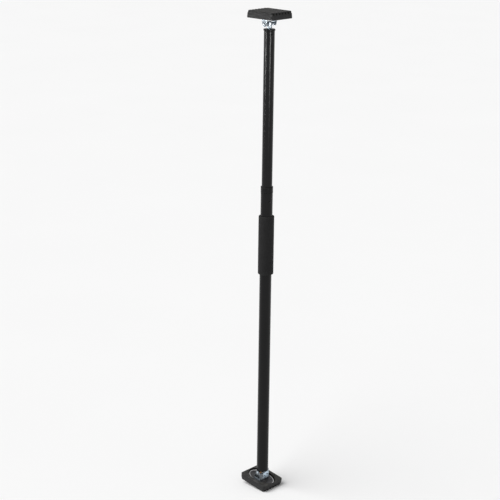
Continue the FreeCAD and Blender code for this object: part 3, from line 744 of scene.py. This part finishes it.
@dataclass
class JackScrew:
    """The plated screw in the end cap: a helical thread, a plain eye and a thin neck."""

    pitch: float = 3.0 * MM
    depth: float = 1.15 * MM
    neck_length: float = 16.0 * MM
    neck_radius: float = 5.0 * MM
    eye_length: float = 18.0 * MM
    chamfer: float = 3.2 * MM
    tip_round: float = 0.8 * MM
    end_ring: float = 0.5 * MM
    eye_hole: float = 3.05 * MM
    crest: float = 0.34
    flank: float = 0.42
    runin: float = 1.2 * MM
    runout: float = 4.0 * MM
    columns: int = 72
    rows_a_turn: int = 14

    def build(self, paints: Paintbox) -> bpy.types.Object:
        """Makes the screw in the frame's own place, bored for the upper pin.

        Args:
            paints: where the material is made.

        Returns:
            The screw's object.
        """
        low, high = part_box("jack_screw")
        radius = (high.x - low.x) / 2.0
        foot, head = low.z + self.neck_length, high.z - self.eye_length
        step = self.pitch / self.rows_a_turn
        threaded = np.arange(foot, head, step)
        thread = np.stack([np.full_like(threaded, radius), threaded], axis=-1)
        neck = softened(
            np.array([[self.end_ring, low.z], [self.neck_radius, low.z], [self.neck_radius, foot]]),
            self.end_ring,
        )
        tip = softened(
            np.array(
                [
                    [radius, head],
                    [radius, high.z - self.chamfer],
                    [radius - self.chamfer, high.z],
                    [self.end_ring, high.z],
                ]
            ),
            self.tip_round,
        )
        profile = np.vstack([neck, thread, tip])
        points = turned_surface(profile, self.columns)
        points = self.cut_thread(points, radius, foot, head)
        rows = len(profile)
        ends = np.array([[0.0, 0.0, low.z], [0.0, 0.0, high.z]])
        last = rows * self.columns
        faces = [
            grid_quads(rows, self.columns, ring=True),
            fan(np.arange(self.columns), last),
            fan(np.arange(last - self.columns, last), last + 1),
        ]
        screw = new_piece("threaded_screw", np.vstack([points.reshape(-1, 3), ends]), faces)
        pin_low, pin_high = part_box("upper_pivot_pin")
        level = (pin_low.z + pin_high.z) / 2.0
        reach = Vector((0.0, 2.0 * radius, 0.0))
        across = Vector((0.0, 0.0, level))
        bored(screw, [rod(self.eye_hole, across - reach, across + reach)])
        paints.dress(screw, Slot.ZINC)
        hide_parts("jack_screw")
        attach(screw, "jack_screw")
        return screw

    def cut_thread(
        self, points: np.ndarray, radius: float, foot: float, head: float
    ) -> np.ndarray:
        """Sinks a thread into the shank: a flat-topped wave of z / pitch - a / turn.

        Args:
            points: the plain shank's grid.
            radius: the shank's outer radius.
            foot: where the thread starts.
            head: where it has run out.

        Returns:
            The grid with the thread in it.
        """
        angle = np.arctan2(points[..., 1], points[..., 0])
        height = points[..., 2]
        share = (height / self.pitch - angle / TURN) % 1.0
        slope = np.abs(share - 0.5) * 2.0
        groove = np.clip((slope - self.crest) / self.flank, 0.0, 1.0)
        groove = groove * groove * (3.0 - 2.0 * groove)
        ends = np.clip((height - foot) / self.runin, 0.0, 1.0)
        ends *= np.clip((head - height) / self.runout, 0.0, 1.0)
        reach = np.linalg.norm(points[..., :2], axis=-1)
        sink = self.depth * groove * ends * (reach > radius - SAME_PLACE)
        scale = 1.0 - sink / reach
        points[..., 0] *= scale
        points[..., 1] *= scale
        return points


@dataclass
class Hanging:
    """Where one end's pad group hangs, and which way it is turned about its pin."""

    end: str
    angle: float

    @property
    def body(self) -> str:
        """The frame's body that the group rides on."""
        return f"{self.end}_pad"

    @property
    def pivot(self) -> float:
        """The height of the group's pin."""
        low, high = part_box(f"{self.end}_pivot_pin")
        return (low.z + high.z) / 2.0

    def place(self, points: np.ndarray) -> np.ndarray:
        """Carries points drawn about the pin to where the group hangs."""
        return hung(points, self.pivot, self.angle)


@dataclass
class BasePlate:
    """The oval pressed plate in the pad's recess, with a rolled lip round its edge."""

    half_length: float = 48.0 * MM
    half_width: float = 31.0 * MM
    underside: float = -26.5 * MM
    floor: float = -24.5 * MM
    lip_top: float = -22.5 * MM
    lip: float = 2.0 * MM
    stud_offset: float = 12.0 * MM
    stud_radius: float = 2.55 * MM
    stud_reach: tuple[float, float] = (-30.0 * MM, -20.0 * MM)
    rounds: tuple[float, ...] = (1.4 * MM, 0.95 * MM, 0.95 * MM, 0.9 * MM)
    round_steps: int = 6
    middle: float = 0.9
    worn_slope: float = 2.0
    worn_start: float = 0.1
    columns: int = 240

    def build(self, hanging: Hanging, paints: Paintbox) -> bpy.types.Object:
        """Makes one end's plate and bores it for the bracket's rivets.

        Args:
            hanging: where the plate hangs.
            paints: where the material is made.

        Returns:
            The plate's object.
        """
        corners = np.array(
            [
                [self.middle * self.half_width, self.floor],
                [self.lip, self.floor],
                [self.lip, self.lip_top],
                [0.0, self.lip_top],
                [0.0, self.underside],
                [self.middle * self.half_width, self.underside],
            ]
        )
        profile = softened(corners, np.array(self.rounds), self.round_steps)
        angle = np.arange(self.columns) * TURN / self.columns
        inset, height = profile[:, :1], profile[:, 1:]
        x = (self.half_length - inset) * np.cos(angle)
        y = (self.half_width - inset) * np.sin(angle)
        rings = np.stack([x, y, np.broadcast_to(height, x.shape)], axis=-1)
        middle = np.array([[0.0, 0.0, self.floor], [0.0, 0.0, self.underside]])
        last = rings.shape[0] * self.columns
        faces = [
            grid_quads(rings.shape[0], self.columns, ring=True),
            fan(np.arange(self.columns), last),
            fan(np.arange(last - self.columns, last), last + 1),
        ]
        points = hanging.place(np.vstack([rings.reshape(-1, 3), middle]))
        rise = (height - self.floor) / (self.lip_top - self.floor)
        on_lip = np.clip(rise * self.worn_slope - self.worn_start, 0.0, 1.0)
        wear_and_shade = np.append(np.broadcast_to(on_lip, x.shape).ravel(), [0.0, 0.0])
        plate = new_piece(f"{hanging.end}_pressed_plate", points, faces, wear_and_shade)
        bored(plate, [self.stud_rod(hanging, side) for side in (-1.0, 1.0)])
        paints.dress(plate, Slot.PLATE)
        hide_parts(f"{hanging.end}_base_plate")
        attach(plate, hanging.body)
        return plate

    def stud_rod(self, hanging: Hanging, side: float) -> bpy.types.Object:
        """The rod that cuts one rivet's hole, on the side given by a sign."""
        ends = np.array([[0.0, side * self.stud_offset, z] for z in self.stud_reach])
        start, end = hanging.place(ends)
        return rod(self.stud_radius, Vector(start), Vector(end))


@dataclass
class RubberPad:
    """The rubber pad: a tray with an oval recess, on a block of tread lugs with open grooves."""

    half_length: float = 54.6 * MM
    half_width: float = 45.9 * MM
    corner: float = 8.0 * MM
    rim: float = -18.0 * MM
    foot: float = -32.8 * MM
    sole: float = -40.0 * MM
    step_inset: float = 1.2 * MM
    tread_inset: float = 2.2 * MM
    sole_inset: float = 3.2 * MM
    recess_length: float = 51.0 * MM
    recess_width: float = 34.0 * MM
    recess_floor: float = -26.5 * MM
    groove_count: int = 7
    groove_step: float = 12.9 * MM
    groove_width: float = 5.2 * MM
    groove_deep: float = 6.9 * MM
    groove_draft: float = 0.35 * MM
    edge: float = 0.72 * MM
    edge_steps: int = 4
    spacing: float = 1.6 * MM
    wall_steps: int = 6
    across: int = 84
    shoulder_rounds: tuple[float, float] = (0.6 * MM, 0.9 * MM)
    basin_rounds: tuple[float, float] = (0.9 * MM, 0.8 * MM)
    basin_steps: int = 5
    basin_mouth: float = 2.0 * MM
    basin_inset: float = 4.0 * MM
    rim_shares: tuple[float, float] = (0.35, 0.7)

    @property
    def tread(self) -> float:
        """The height of the tread block, from its foot to the sole."""
        return self.foot - self.sole

    def outline(self, y: np.ndarray, rise: np.ndarray) -> np.ndarray:
        """Half the tread's length at a place across it.

        The plan is a rectangle with round corners of radius r, half sizes a and b, which
        shrink evenly with the rise: a - r + sqrt(r^2 - (|y| - b + r)^2) at the corners.

        Args:
            y: how far from the middle.
            rise: the height above the tread's foot.

        Returns:
            The half length there.
        """
        radius = self.corner - self.tread_inset
        draft = (self.sole_inset - self.tread_inset) * rise / self.tread
        beyond = np.abs(y) - (self.half_width - self.tread_inset - draft - radius)
        beyond = np.clip(beyond, 0.0, radius)
        straight = self.half_length - self.tread_inset - draft - radius
        return straight + np.sqrt(np.maximum(radius**2 - beyond**2, 0.0))

    def tread_rows(self) -> np.ndarray:
        """The line over the lugs and into the grooves: y and rise, from side to side."""
        side = self.half_width - self.tread_inset
        top = self.half_width - self.sole_inset
        first = -self.groove_step * (self.groove_count - 1) / 2.0
        middles = first + self.groove_step * np.arange(self.groove_count)
        half_root = self.groove_width / 2.0 - self.groove_draft
        offsets = np.array([-self.groove_width / 2, -half_root, half_root, self.groove_width / 2])
        rises = np.array([0.0, -self.groove_deep, -self.groove_deep, 0.0]) + self.tread
        y = (middles[:, None] + offsets).ravel()
        rise = np.tile(rises, self.groove_count)
        grooves = np.stack([y, rise], axis=-1)
        start = [[-side, 0.0], [-top, self.tread]]
        end = [[top, self.tread], [side, 0.0]]
        chain = softened(np.vstack([start, grooves, end]), self.edge, self.edge_steps)
        return filled_in(chain, self.spacing)

    def tread_sheet(self) -> np.ndarray:
        """The lugs' surface: each row goes up one end wall, round the edge and across."""
        rows = self.tread_rows()
        y, top = rows[:, :1], rows[:, 1:]
        bend = np.minimum(self.edge, 0.5 * top)
        wall = np.linspace(0.0, 1.0, self.wall_steps)[None, :] * (top - bend)
        wall_x = self.outline(y, wall)
        t = np.linspace(0.0, 1.0, self.wall_steps)[None, 1:]
        corner_x = self.outline(y, top)
        start_x = self.outline(y, top - bend)
        bend_x = (1 - t) ** 2 * start_x + 2 * t * (1 - t) * corner_x + t**2 * (corner_x - bend)
        bend_rise = (1 - t) ** 2 * (top - bend) + 2 * t * (1 - t) * top + t**2 * top
        share = np.linspace(-1.0, 1.0, self.across)[None, 1:-1]
        flat_x = share * (corner_x - bend)
        side_x = np.hstack([wall_x, bend_x])
        side_rise = np.hstack([wall, bend_rise])
        x = np.hstack([-side_x, flat_x, side_x[:, ::-1]])
        rise = np.hstack([side_rise, np.broadcast_to(top, flat_x.shape), side_rise[:, ::-1]])
        return np.stack([x, np.broadcast_to(y, x.shape), self.foot - rise], axis=-1)

    def tray_rings(self, rim: np.ndarray) -> np.ndarray:
        """The rings from the tread's foot round the tray's edge into the recess.

        Args:
            rim: the points round the tread's foot, in order.

        Returns:
            Rings of as many points, each with its own offset and height.
        """
        flat = rim[:, :2]
        radius = self.corner - self.tread_inset
        core = np.array([self.half_length, self.half_width]) - self.tread_inset - radius
        inner = np.clip(flat, -core, core)
        way = (flat - inner) / np.linalg.norm(flat - inner, axis=1, keepdims=True)
        shoulder = np.array(
            [
                [0.0, self.foot],
                [self.tread_inset - self.step_inset, self.foot],
                [self.tread_inset, self.rim],
                [0.0, self.rim],
            ]
        )
        rounds = np.array(self.shoulder_rounds)
        shoulder = softened(shoulder, rounds, self.basin_steps)[1:-1]
        outer = flat[None] + way[None] * shoulder[:, :1, None]
        spread = np.arctan2(flat[:, 1] / self.half_width, flat[:, 0] / self.half_length)
        basin = np.array(
            [
                [self.basin_mouth, self.rim],
                [0.0, self.rim],
                [0.0, self.recess_floor],
                [-self.basin_inset, self.recess_floor],
            ]
        )
        basin = softened(basin, np.array(self.basin_rounds), self.basin_steps)
        basin = filled_in(basin, self.basin_mouth)
        oval_x = (self.recess_length + basin[:, :1]) * np.cos(spread)
        oval_y = (self.recess_width + basin[:, :1]) * np.sin(spread)
        inside = np.stack([oval_x, oval_y], axis=-1)
        share = np.array(self.rim_shares)[:, None, None]
        between = outer[-1] * (1 - share) + inside[0] * share
        places = np.concatenate([outer, between, inside])
        flats = np.full(len(self.rim_shares), self.rim)
        heights = np.concatenate([shoulder[:, 1], flats, basin[:, 1]])
        levels = np.broadcast_to(heights[:, None, None], (*places.shape[:2], 1))
        return np.concatenate([places, levels], axis=-1)

    def painted_shade_share(self, rows: int, columns: int, rings: np.ndarray) -> np.ndarray:
        """How much painted shade each point gets, from 0 on the skin to 1 in the hollows.

        In the tread it is the drop below the lugs' tops over the grooves' depth; in the tray
        it is the drop below the rim over the recess's depth, on the rings inside the rim.

        Args:
            rows: how many rows the tread sheet has.
            columns: how many points each row has.
            rings: the tray's rings.

        Returns:
            One share of painted shade for each point of the pad.
        """
        drop = (self.tread - self.tread_rows()[:, 1]) / self.groove_deep
        inside = np.abs(self.tread_rows()[:, 0]) < self.half_width - 2.0 * self.sole_inset
        tread = np.repeat(np.clip(drop * inside, 0.0, 1.0), columns)
        level = rings[..., 2]
        sunk = np.clip((self.rim - level) / (self.rim - self.recess_floor), 0.0, 1.0)
        within = np.hypot(
            rings[..., 0] / (self.recess_length + 1.0 * MM),
            rings[..., 1] / (self.recess_width + 1.0 * MM),
        )
        return np.concatenate([tread, (sunk * (within < 1.0)).ravel(), [1.0]])

    def build(self, hanging: Hanging, paints: Paintbox) -> bpy.types.Object:
        """Makes one end's pad: the tread sheet and the tray's rings, joined round the foot.

        Args:
            hanging: where the pad hangs.
            paints: where the material is made.

        Returns:
            The pad's object.
        """
        sheet = self.tread_sheet()
        rows, columns = sheet.shape[:2]
        number = np.arange(rows * columns).reshape(rows, columns)
        rim = np.concatenate(
            [number[0, :-1], number[:-1, -1], number[-1, :0:-1], number[:0:-1, 0]]
        )
        points = sheet.reshape(-1, 3)
        rings = self.tray_rings(points[rim])
        count = len(rim)
        ring_start = len(points) + np.arange(len(rings)) * count
        upper = grid_quads(len(rings), count, ring=True) + len(points)
        first = np.arange(count) + ring_start[0]
        seam = np.stack([rim, np.roll(rim, -1), np.roll(first, -1), first], axis=-1)
        centre = len(points) + rings.shape[0] * count
        middle = np.array([[0.0, 0.0, self.recess_floor]])
        everything = np.vstack([points, rings.reshape(-1, 3), middle])
        # Painted shade: the rubber darkens to near black and turns rough in the grooves and the
        # recess, where light hardly reaches.
        wear_and_shade = self.painted_shade_share(rows, columns, rings)
        faces = [
            grid_quads(rows, columns, ring=False),
            seam,
            upper,
            fan(np.arange(count) + ring_start[-1], centre),
        ]
        pad = new_piece(f"{hanging.end}_moulded_pad", hanging.place(everything), faces, wear_and_shade)
        paints.dress(pad, Slot.RUBBER)
        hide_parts(f"{hanging.end}_rubber_pad")
        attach(pad, hanging.body)
        return pad


@dataclass
class FrameDressing:
    """The finish of each of the frame's own pieces that stays in sight."""

    kinds: dict[Slot, tuple[str, ...]] = field(
        default_factory=lambda: {
            Slot.BLACK_STEEL: ("outer_tube", "inner_tube", "collar_rivet", "cap_rivet"),
            Slot.BLACK_PLASTIC: ("guide_collar", "end_cap", "lower_end_plug"),
            Slot.NYLON: ("lock_core", "lock_expander", "lock_cone", "screw_tail_guide"),
            Slot.ZINC: (
                "clevis_bracket",
                "bracket_rivets",
                "pivot_pin",
                "upper_spacer_bushes",
                "screw_insert",
                "lock_stud",
                "lower_spindle",
                "spindle_washer",
            ),
            Slot.SPRING_STEEL: ("pin_clip", "screw_clip", "stud_clip", "spindle_clip"),
            Slot.BRONZE: ("lower_spacer_bushes",),
        }
    )

    def dress(self, shown: dict[str, bpy.types.Object], paints: Paintbox) -> None:
        """Gives each piece that is in sight its finish.

        Args:
            shown: the frame's pieces by name.
            paints: where the materials are made.
        """
        slots = {name: slot for slot, names in self.kinds.items() for name in names}
        for name, piece in sorted(shown.items()):
            kind = name.removeprefix("upper_").removeprefix("lower_")
            slot = slots.get(name) or slots.get(kind)
            if slot is not None and not piece.hide_render:
                paints.dress(piece, slot)


# ---- studio ----------------------------------------------------------------------------


@dataclass
class Camera:
    """A long lens that looks down on the pole from its front right."""

    place: tuple[float, float, float] = (2.821, -3.067, 2.112)
    heading: float = 43.3
    pitch: float = 17.26
    roll: float = 0.71
    lens: float = 99.2
    sensor: float = 36.0

    def build(self) -> bpy.types.Object:
        """Makes the camera: right, up and back axes from its heading, pitch and roll."""
        heading, pitch, roll = (math.radians(a) for a in (self.heading, self.pitch, self.roll))
        level = Vector((-math.sin(heading), math.cos(heading), 0.0))
        right = Vector((math.cos(heading), math.sin(heading), 0.0))
        ahead = level * math.cos(pitch) - Vector((0.0, 0.0, math.sin(pitch)))
        up = right.cross(ahead)
        tipped_right = right * math.cos(roll) + up * math.sin(roll)
        tipped_up = up * math.cos(roll) - right * math.sin(roll)
        turn = Matrix((tipped_right, tipped_up, -ahead)).transposed().to_4x4()
        data = bpy.data.cameras.new("camera")
        data.lens, data.sensor_width = self.lens, self.sensor
        data.clip_start, data.clip_end = 0.05, 200.0
        camera = bpy.data.objects.new("camera", data)
        camera.matrix_world = Matrix.Translation(Vector(self.place)) @ turn
        bpy.context.scene.collection.objects.link(camera)
        bpy.context.scene.camera = camera
        return camera


@dataclass(frozen=True)
class Lamp:
    """One soft light: a rectangle that faces a point on the pole."""

    name: str
    place: tuple[float, float, float]
    target: tuple[float, float, float]
    size: tuple[float, float]
    power: float
    spread: float = 24.0

    def build(self) -> bpy.types.Object:
        """Makes the light, which the camera doesn't see."""
        data = bpy.data.lights.new(self.name, "AREA")
        data.shape, data.size, data.size_y = "RECTANGLE", *self.size
        data.energy, data.spread = self.power, math.radians(self.spread)
        lamp = bpy.data.objects.new(self.name, data)
        way = Vector(self.target) - Vector(self.place)
        turn = way.to_track_quat("-Z", "Y").to_matrix().to_4x4()
        lamp.matrix_world = Matrix.Translation(Vector(self.place)) @ turn
        lamp.visible_camera = False
        bpy.context.scene.collection.objects.link(lamp)
        return lamp


@dataclass
class Studio:
    """A pale floor under soft light, with two tall strips that the upper tube mirrors."""

    floor_half: float = 60.0
    floor_shades: tuple[float, float] = (0.90, 0.92)
    floor_clouds: float = 1.5
    floor_gloss: float = 0.9
    surround: float = 0.36
    backdrop: float = 0.95
    key_from: tuple[float, float, float] = (-0.30, -0.62, 0.86)
    key_strength: float = 2.75
    key_spread: float = 55.0
    lamps: tuple[Lamp, ...] = (
        Lamp("left_strip", (-0.72, -1.32, 1.32), (0.0, 0.0, 1.34), (0.12, 0.36), 0.27),
        Lamp("right_strip", (1.62, -0.77, 1.30), (0.0, 0.0, 1.32), (0.12, 0.40), 0.24),
    )

    def build(self) -> None:
        """Makes the floor, the sky and the lamps."""
        self.build_floor()
        self.build_sky()
        self.build_key()
        for lamp in self.lamps:
            lamp.build()
        bpy.context.scene.view_settings.view_transform = "Standard"

    def build_floor(self) -> None:
        """A wide square just under the pole, with a faint cloudy shade."""
        half = self.floor_half
        corners = [(-half, -half, 0.0), (half, -half, 0.0), (half, half, 0.0), (-half, half, 0.0)]
        mesh = bpy.data.meshes.new("floor")
        mesh.from_pydata(corners, [], [(0, 1, 2, 3)])
        floor = bpy.data.objects.new("floor", mesh)
        bpy.context.scene.collection.objects.link(floor)
        made = bpy.data.materials.new("pale_floor")
        made.use_nodes = True
        nodes = Nodes(made.node_tree)
        place = nodes.add("ShaderNodeTexCoord").outputs["Object"]
        shader = nodes.add("ShaderNodeBsdfPrincipled")
        shades = [(shade, shade, shade, 1.0) for shade in self.floor_shades]
        shade = nodes.mixed(nodes.noise(place, self.floor_clouds, detail=3.0), *shades)
        nodes.fill(shader, Base_Color=shade, Roughness=self.floor_gloss, Specular_IOR_Level=0.1)
        nodes.join(shader.outputs[0], nodes.add("ShaderNodeOutputMaterial").inputs[0])
        mesh.materials.append(made)

    def build_key(self) -> None:
        """The main light: broad, even and from high on the left."""
        data = bpy.data.lights.new("key_light", "SUN")
        data.energy, data.angle = self.key_strength, math.radians(self.key_spread)
        key = bpy.data.objects.new("key_light", data)
        key.matrix_world = (-Vector(self.key_from)).to_track_quat("-Z", "Y").to_matrix().to_4x4()
        bpy.context.scene.collection.objects.link(key)

    def build_sky(self) -> None:
        """Even light from all round, with a paler backdrop for the camera alone."""
        world = bpy.data.worlds.new("studio")
        bpy.context.scene.world = world
        world.use_nodes = True
        nodes = Nodes(world.node_tree)
        light, seen = nodes.add("ShaderNodeBackground"), nodes.add("ShaderNodeBackground")
        nodes.fill(light, Color=WHITE, Strength=self.surround)
        nodes.fill(seen, Color=WHITE, Strength=self.backdrop)
        blend = nodes.add("ShaderNodeMixShader")
        nodes.join(nodes.add("ShaderNodeLightPath").outputs["Is Camera Ray"], blend.inputs[0])
        nodes.join(light.outputs[0], blend.inputs[1])
        nodes.join(seen.outputs[0], blend.inputs[2])
        nodes.join(blend.outputs[0], nodes.add("ShaderNodeOutputWorld").inputs[0])


# ---- assembly --------------------------------------------------------------------------


def main() -> None:
    """Loads the frame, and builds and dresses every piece."""
    logging.basicConfig(level=logging.INFO, format="%(name)s: %(message)s")
    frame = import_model()
    Camera().build()
    Studio().build()
    paints = Paintbox()
    FoamGrip().build(paints)
    JackScrew().build(paints)
    for hanging in (Hanging("lower", 8.3), Hanging("upper", 180.0)):
        RubberPad().build(hanging, paints)
        BasePlate().build(hanging, paints)
    FrameDressing().dress(frame["nodes"], paints)


if __name__ == "__main__":
    main()
